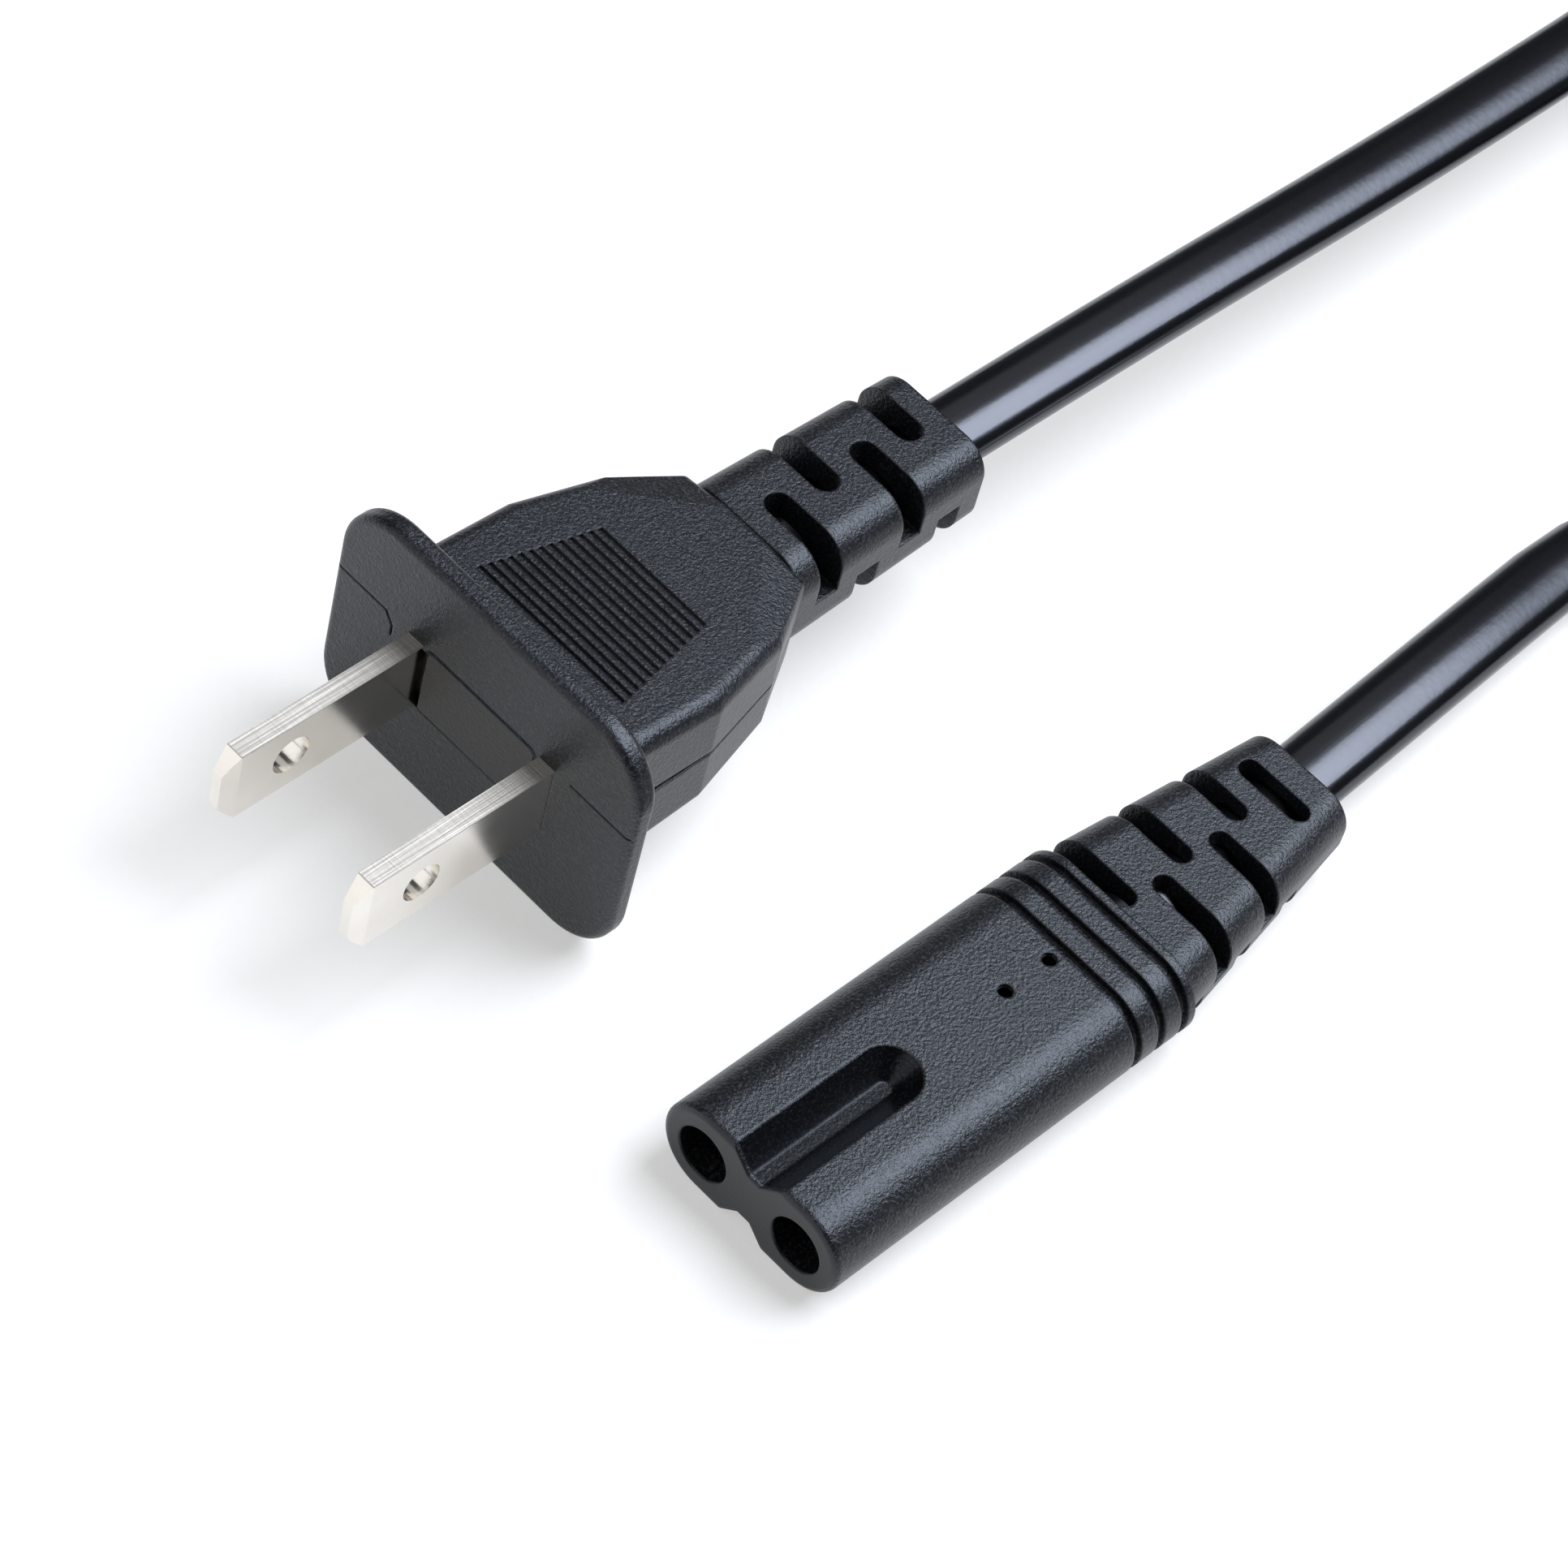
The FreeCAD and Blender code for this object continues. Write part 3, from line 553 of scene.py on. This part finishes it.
# %% Webbing
def webbing():
    material, place = new_finish("webbing", "UV")
    along_it = place.node("SeparateXYZ", {0: place}, output="X") * (math.pi / (0.5 * MM))
    around_it = place.node("SeparateXYZ", {0: place}, output="Y") * (math.pi * 34)
    warp, weft = (place.math("SINE", way, 0.0) for way in (along_it, around_it))
    weave = warp * weft * 0.5 + 0.5
    fuzz = noise(stretched(place, 1.0, 0.016, 1.0), 0.12, 3.0)
    colour = tint(weave * 0.6 + fuzz * 0.4, (0.006, 0.006, 0.006), (0.035, 0.035, 0.036))
    normal = bump(weave, 0.10, under=bump(fuzz, 0.04))
    coat_with(place, Base_Color=colour, Roughness=0.75 + fuzz * 0.15, Normal=normal)
    return material


finishes["tie"] = webbing()
print("webbing nodes", len(finishes["tie"].node_tree.nodes))

# %% [markdown]
# Every CAD solid now takes the finish of the slot it belongs to, and the two new pieces theirs. The
# slot could be written out for each solid, but their names already hold a word that tells it.

# %% Put the finishes on
SLOT_WORDS = {
    "overmould": "moulding", "carrier": "insert", "contact": "contact", "blade": "blade",
    "conductor": "conductor", "core_left": "core_brown", "core_right": "core_blue",
    "cord": "cord_jacket", "tie": "tie",
}


def slot_of(name):
    """The slot whose word the node's name has; a carrier is a carrier whatever it carries."""
    return SLOT_WORDS[next(word for word in SLOT_WORDS if word in name)]


for name, node in nodes.items():
    node.data.materials.clear()
    node.data.materials.append(finishes[slot_of(name)])
cord.data.materials.append(finishes["cord_jacket"])
strap.data.materials.append(finishes["tie"])
print({name: slot_of(name) for name in sorted(nodes)})

# %% [markdown]
# The lead lies on a white sheet that runs out of the picture. The sheet keeps its shadows because
# it is a real surface under the lamps. The light it seems to add is only for the eye of the camera
# and for mirrors, so the lamps do not have to be turned up to make white paper white.

# %% Floor
def white_sheet():
    material, place = new_finish("white_sheet")
    paper = noise(place, 0.7, 3.0)
    rays = ("Is Camera Ray", "Is Glossy Ray", "Is Transmission Ray")
    by_eye, by_gloss, by_glass = (place.node("LightPath", output=ray) for ray in rays)
    seen = place.math("MINIMUM", by_eye + by_gloss + by_glass, 1.0)
    coat_with(
        place, Base_Color=tint(paper, (0.50, 0.495, 0.48), (0.53, 0.525, 0.51)), Roughness=0.8,
        Emission_Color=tint(seen, BLACK, (1.0, 1.0, 1.0)), Emission_Strength=0.46,
        Normal=bump(paper, 0.03),
    )
    return material


SHEET_HALF, SHEET_DROP = 2.5, 0.02
side = np.array((-SHEET_HALF, SHEET_HALF))
sheet_x, sheet_y = np.meshgrid(side, side[::-1], indexing="ij")
sheet = np.stack((sheet_x, sheet_y, np.full_like(sheet_x, -SHEET_DROP * MM)), axis=-1)
floor = grid_mesh("white_floor", sheet, sheet[..., :2].copy(), closed_across=False)
floor.data.materials.append(white_sheet())
print("floor", sheet.reshape(-1, 3).min(0), sheet.reshape(-1, 3).max(0))

# %% [markdown]
# Three soft panels make the light, as in a small product studio. The main one stands high behind
# the lead on the right, and its length across the cord sets how wide the cord's highlight is. A
# faint one on the left keeps that side from going black, and a card in front lights the face and
# the blades. Each is given by how bright it looks, so its size can change without a new exposure.
# A dim grey world is what the dark sides mirror.

# %% Lamps and world
def panel_lamp(name, aim, direction, across, size, distance, radiance):
    """A panel that faces its aim from a direction; its long side runs along across."""
    back = unit(np.array(direction))
    tall = unit(np.array(across) - np.dot(across, back) * back)
    data = bpy.data.lights.new(name, "AREA")
    data.shape = "RECTANGLE"
    data.size, data.size_y = size
    data.energy = radiance * math.pi * size[0] * size[1]
    lamp = bpy.data.objects.new(name, data)
    lamp.rotation_euler = Matrix(np.column_stack((np.cross(tall, back), tall, back))).to_euler()
    lamp.location = np.array(aim) + back * distance
    scene.collection.objects.link(lamp)
    return lamp


lamp = panel_lamp(
    "soft_panel", aim=(0.01, 0.015, 0.0), direction=(0.45, -0.205, 0.85), across=(0.0, 0.95, 0.3),
    size=(0.55, 0.57), distance=0.75, radiance=8.8,
)
lamp.data.color = (0.92, 0.97, 1.07)
panel_lamp(
    "fill_panel", aim=(0.01, 0.015, 0.0), direction=(0.48, 0.50, 0.86), across=(0.0, 0.86, -0.5),
    size=(0.50, 0.42), distance=0.80, radiance=0.45,
)
panel_lamp(
    "front_card", aim=(0.0, 0.03, 0.0), direction=(-0.80, 0.29, 0.62), across=(0.34, 0.94, 0.0),
    size=(0.95, 0.60), distance=0.75, radiance=1.05,
)
world = bpy.data.worlds.new("dim_studio")
world.use_nodes = True
world.node_tree.nodes["Background"].inputs["Color"].default_value = (0.06, 0.06, 0.065, 1.0)
scene.world = world
print("lamp watts", round(lamp.data.energy, 2))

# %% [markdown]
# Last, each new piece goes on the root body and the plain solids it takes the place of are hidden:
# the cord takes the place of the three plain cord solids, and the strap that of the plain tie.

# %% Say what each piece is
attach(cord, "root")
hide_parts("cord_connector_run", "cord_coil", "cord_plug_run")
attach(strap, "root")
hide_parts("coil_tie")
